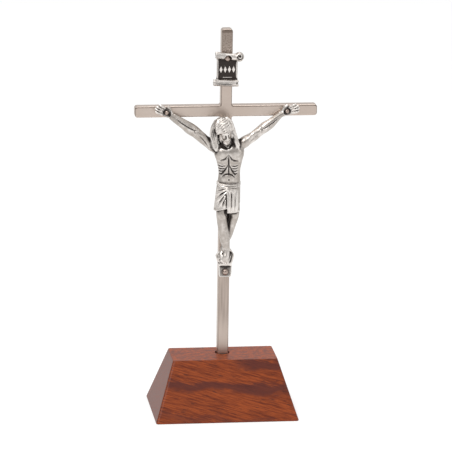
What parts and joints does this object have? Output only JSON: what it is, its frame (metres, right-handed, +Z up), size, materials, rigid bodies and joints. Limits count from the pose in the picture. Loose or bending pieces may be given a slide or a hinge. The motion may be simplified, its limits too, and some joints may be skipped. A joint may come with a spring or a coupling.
{
  "type": "table crucifix",
  "caption": "Standing crucifix: a square-bar metal cross with a cast figure and a rolled scroll, push-fitted in a tapered hardwood block.",
  "frame": {"origin": "middle of the wooden block's underside", "axes": "+Z up along the upright, +X along the crossbar to the viewer's right, the figure faces -Y"},
  "size_m": [0.0654, 0.0346, 0.141],
  "materials": {
    "hardwood": "satin oiled, reddish brown with dark stripes",
    "plated_bar": "polished silver plate, slightly warm",
    "antiqued_casting": "antiqued silver, dark in the recesses",
    "rivet_metal": "polished silver plate"
  },
  "bodies": {
    "base": {"base_block": "hardwood"},
    "cross": {"upright": "plated_bar", "crossbar": "plated_bar", "corpus": "antiqued_casting", "scroll": "antiqued_casting", "scroll_rivet": "rivet_metal", "left_hand_rivet": "rivet_metal", "right_hand_rivet": "rivet_metal", "foot_rivet": "rivet_metal"}
  },
  "joints": [
    {"name": "cross_lift", "type": "slide", "parent": "base", "child": "cross", "axis": [0, 0, 1], "range_m": [0, 0.02]}
  ]
}
